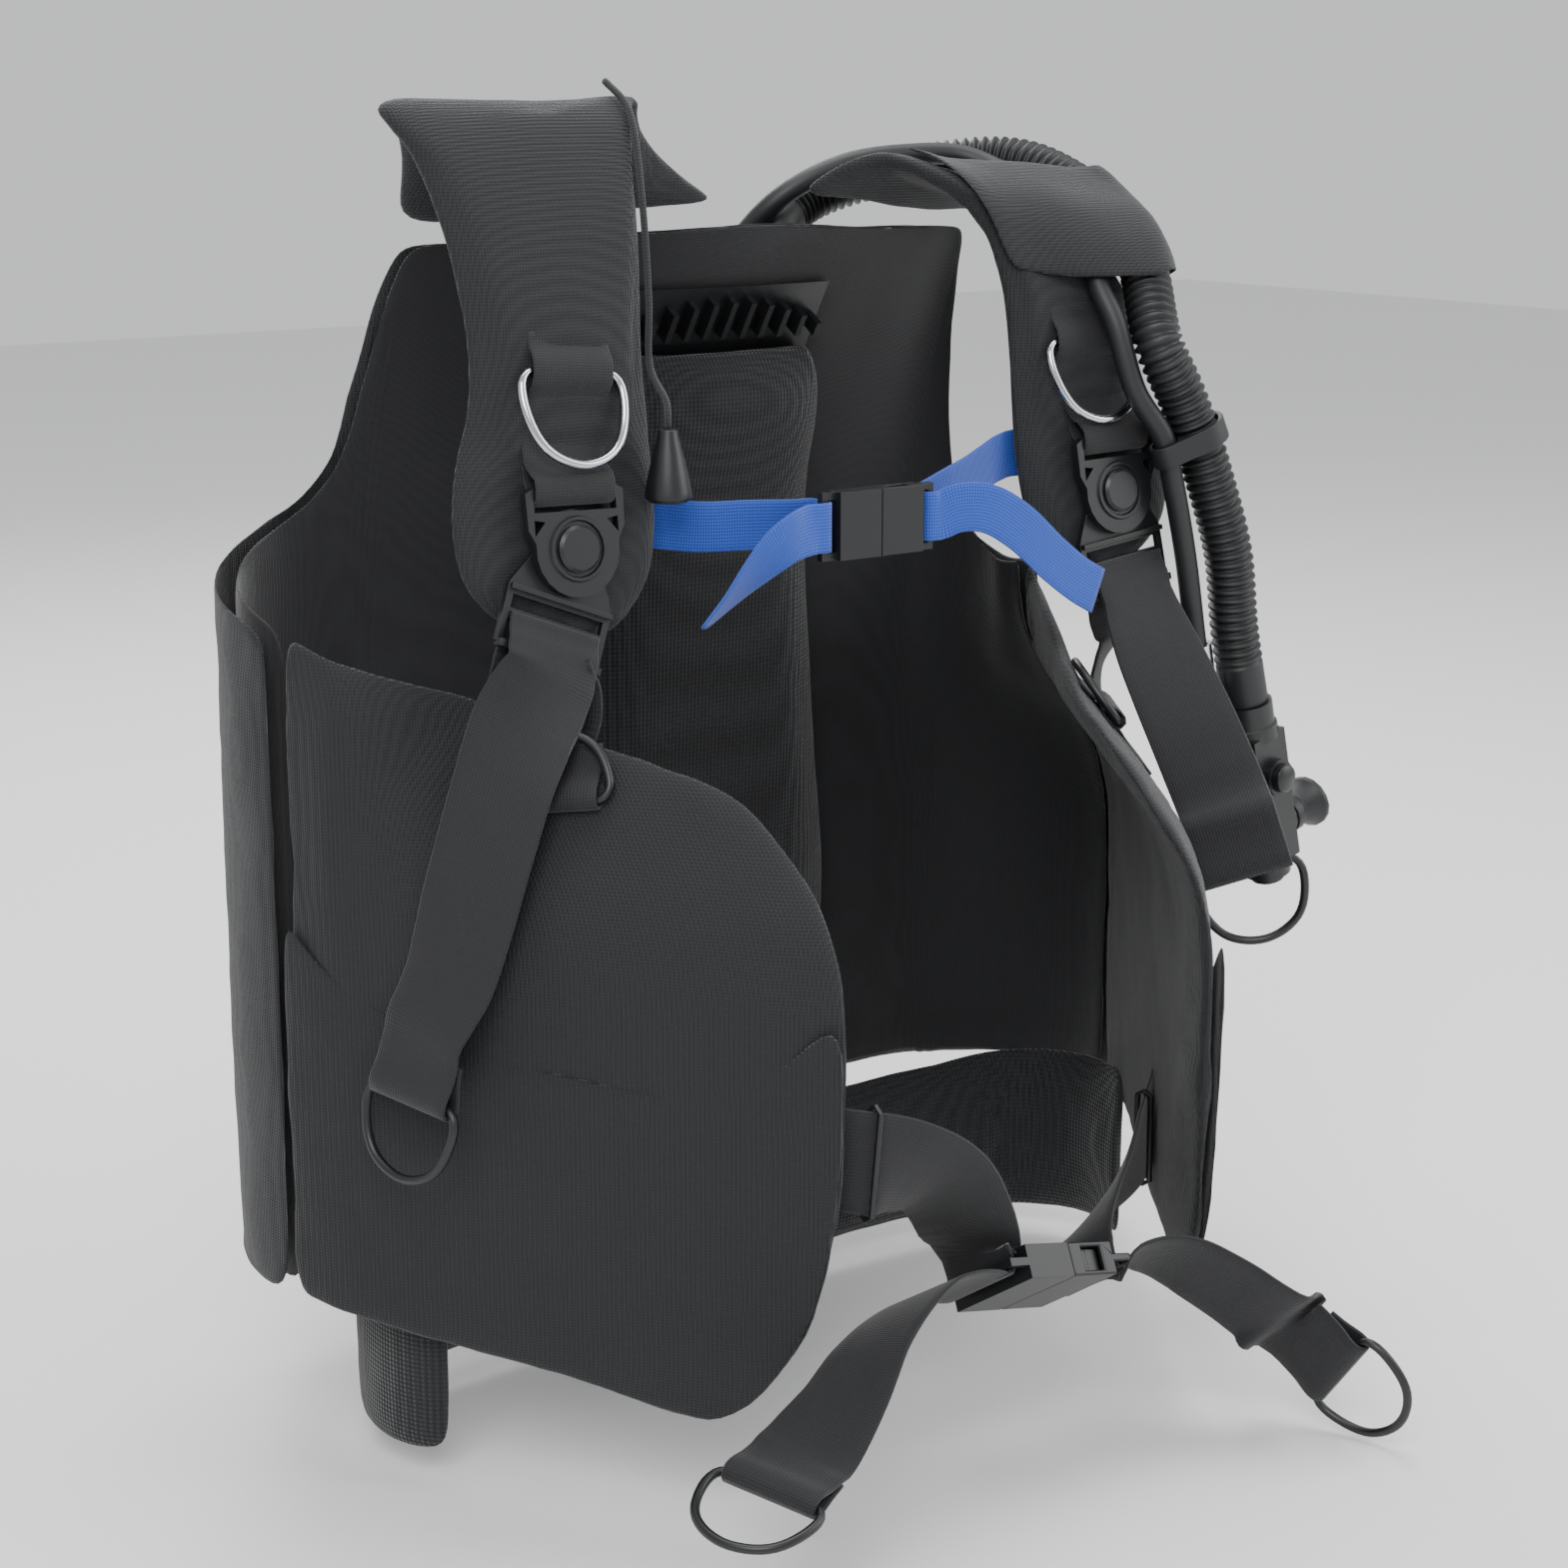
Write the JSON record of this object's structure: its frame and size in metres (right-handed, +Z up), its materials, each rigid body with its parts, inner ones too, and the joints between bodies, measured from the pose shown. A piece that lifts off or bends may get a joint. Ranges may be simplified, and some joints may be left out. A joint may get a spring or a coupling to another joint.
{
  "type": "buoyancy compensator vest",
  "caption": "Diving buoyancy vest with an air cell in the back, front pockets, padded shoulder straps, D-rings, side-release buckles, an inflator on a corrugated hose and a tank band.",
  "frame": {"origin": "on the middle line of the vest, at the height of the underside of the right shoulder strap's crest, where the wearer's shoulder carries it", "axes": "+X to the wearer's left, +Y to the wearer's back, +Z up"},
  "size_m": [0.6251, 0.5099, 0.6767],
  "materials": {
    "cloth": "woven black oxford fabric, matt",
    "lining": "black lining cloth",
    "film": "coated film",
    "padding": "quilted black cover over foam",
    "webbing": "ribbed black webbing",
    "blue_webbing": "ribbed royal blue webbing",
    "plastic": "moulded black plastic, satin",
    "steel": "polished stainless wire",
    "chrome": "polished",
    "rubber": "soft black rubber"
  },
  "bodies": {
    "vest": {"back_shell": "cloth", "right_front_panel": "cloth", "left_front_panel": "cloth", "right_pocket": "cloth", "left_pocket": "cloth", "right_shoulder_strap": "cloth", "left_shoulder_strap": "cloth", "lumbar_pad": "cloth", "hose_sleeve": "cloth", "back_lining": "lining", "air_cell": "film", "back_pad": "padding", "right_chest_webbing": "webbing", "left_chest_webbing": "webbing", "right_shoulder_anchor": "webbing", "left_shoulder_anchor": "webbing", "right_pocket_ring_tab": "webbing", "left_pocket_ring_tab": "webbing", "waist_strap_right": "webbing", "waist_tail_right": "webbing", "waist_strap_left": "webbing", "tank_band": "webbing", "dump_cord": "webbing", "sternum_strap_right": "blue_webbing", "sternum_strap_left": "blue_webbing", "right_swivel_plate": "plastic", "left_swivel_plate": "plastic", "sternum_female": "plastic", "waist_female": "plastic", "back_plate": "plastic", "cam_buckle": "plastic", "hose_elbow": "plastic", "inflator_body": "plastic", "right_pocket_ring": "plastic", "right_waist_loop": "plastic", "left_waist_loop": "plastic", "lp_fitting": "chrome", "corrugated_hose": "rubber", "lp_hose": "rubber", "hose_clip": "rubber", "mouthpiece": "rubber"},
    "right_chest_ring": {"right_chest_ring": "steel"},
    "left_chest_ring": {"left_chest_ring": "steel"},
    "right_swivel": {"right_swivel_frame": "plastic", "right_shoulder_tail": "webbing"},
    "left_swivel": {"left_swivel_frame": "plastic", "left_shoulder_tail": "webbing"},
    "right_pull_ring": {"right_pull_ring": "plastic"},
    "left_pull_ring": {"left_pull_ring": "plastic"},
    "left_pocket_ring": {"left_pocket_ring": "plastic"},
    "right_waist_ring": {"right_waist_ring": "plastic"},
    "left_waist_ring": {"left_waist_ring": "plastic"},
    "cam_lever": {"cam_lever": "plastic"},
    "sternum_male": {"sternum_male": "plastic", "sternum_tail_right": "blue_webbing"},
    "waist_male": {"waist_male": "plastic"},
    "dump_knob": {"dump_knob": "plastic"},
    "inflate_button": {"inflate_button": "plastic"},
    "deflate_button": {"deflate_button": "plastic"},
    "qd_collar": {"qd_collar": "chrome"}
  },
  "joints": [
    {"name": "right_chest_ring_swing", "type": "hinge", "parent": "vest", "child": "right_chest_ring", "pos_m": [-0.16229, -0.05158, -0.11911], "axis": [-0.9968, 0, 0.08], "range_deg": [0, 120]},
    {"name": "left_chest_ring_swing", "type": "hinge", "parent": "vest", "child": "left_chest_ring", "pos_m": [0.16141, -0.05168, -0.11951], "axis": [-0.998, 0.008, -0.062], "range_deg": [0, 5]},
    {"name": "right_swivel_swing", "type": "hinge", "parent": "vest", "child": "right_swivel", "pos_m": [-0.17137, -0.06896, -0.20058], "axis": [0.004, -0.9894, 0.1451], "range_deg": [-18, 0], "deforming": ["right_shoulder_anchor"]},
    {"name": "left_swivel_swing", "type": "hinge", "parent": "vest", "child": "left_swivel", "pos_m": [0.17036, -0.06896, -0.20058], "axis": [-0.004, -0.9894, 0.1451], "range_deg": [0, 4], "deforming": ["left_shoulder_anchor"]},
    {"name": "right_pull_ring_swing", "type": "hinge", "parent": "right_swivel", "child": "right_pull_ring", "pos_m": [-0.27, -0.075, -0.45], "axis": [0.2629, -0.9597, -0.099], "range_deg": [-60, 10]},
    {"name": "left_pull_ring_swing", "type": "hinge", "parent": "left_swivel", "child": "left_pull_ring", "pos_m": [0.187, -0.159, -0.394], "axis": [0.7129, -0.624, 0.32], "range_deg": [-60, 60]},
    {"name": "left_pocket_ring_swing", "type": "hinge", "parent": "vest", "child": "left_pocket_ring", "pos_m": [0.14778, -0.09461, -0.31522], "axis": [-0.5519, -0.8339, 0], "range_deg": [-30, 0]},
    {"name": "right_waist_ring_swing", "type": "hinge", "parent": "vest", "child": "right_waist_ring", "pos_m": [-0.192, -0.256, -0.601], "axis": [0.3742, -0.9194, -0.1211], "range_deg": [-60, 60]},
    {"name": "left_waist_ring_swing", "type": "hinge", "parent": "vest", "child": "left_waist_ring", "pos_m": [0.146, -0.279, -0.624], "axis": [-0.003, -0.6018, 0.7987], "range_deg": [-60, 60]},
    {"name": "cam_lever_swing", "type": "hinge", "parent": "vest", "child": "cam_lever", "pos_m": [0.022, 0.1866, -0.425], "axis": [0, 0, -1], "range_deg": [0, 140]},
    {"name": "sternum_male_slide", "type": "slide", "parent": "vest", "child": "sternum_male", "axis": [-1, 0, 0], "range_m": [0, 0.025], "deforming": ["sternum_strap_right"]},
    {"name": "waist_male_slide", "type": "slide", "parent": "vest", "child": "waist_male", "axis": [-0.9798, 0, 0.2], "range_m": [0, 0.035], "deforming": ["waist_strap_right", "waist_tail_right"]},
    {"name": "dump_knob_slide", "type": "slide", "parent": "vest", "child": "dump_knob", "axis": [0, 0, -1], "range_m": [0, 0.02], "stiffness_N_per_m": 200, "springref_m": -0.004, "deforming": ["dump_cord"]},
    {"name": "inflate_button_slide", "type": "slide", "parent": "vest", "child": "inflate_button", "axis": [-0.1184, 0.9929, -0.0082], "range_m": [0, 0.004], "stiffness_N_per_m": 400, "springref_m": -0.002},
    {"name": "deflate_button_slide", "type": "slide", "parent": "vest", "child": "deflate_button", "axis": [-0.235, -0.02, 0.9718], "range_m": [0, 0.005], "stiffness_N_per_m": 400, "springref_m": -0.002},
    {"name": "qd_collar_slide", "type": "slide", "parent": "vest", "child": "qd_collar", "axis": [-0.2021, 0, 0.9794], "range_m": [0, 0.003], "stiffness_N_per_m": 500, "springref_m": -0.002}
  ]
}
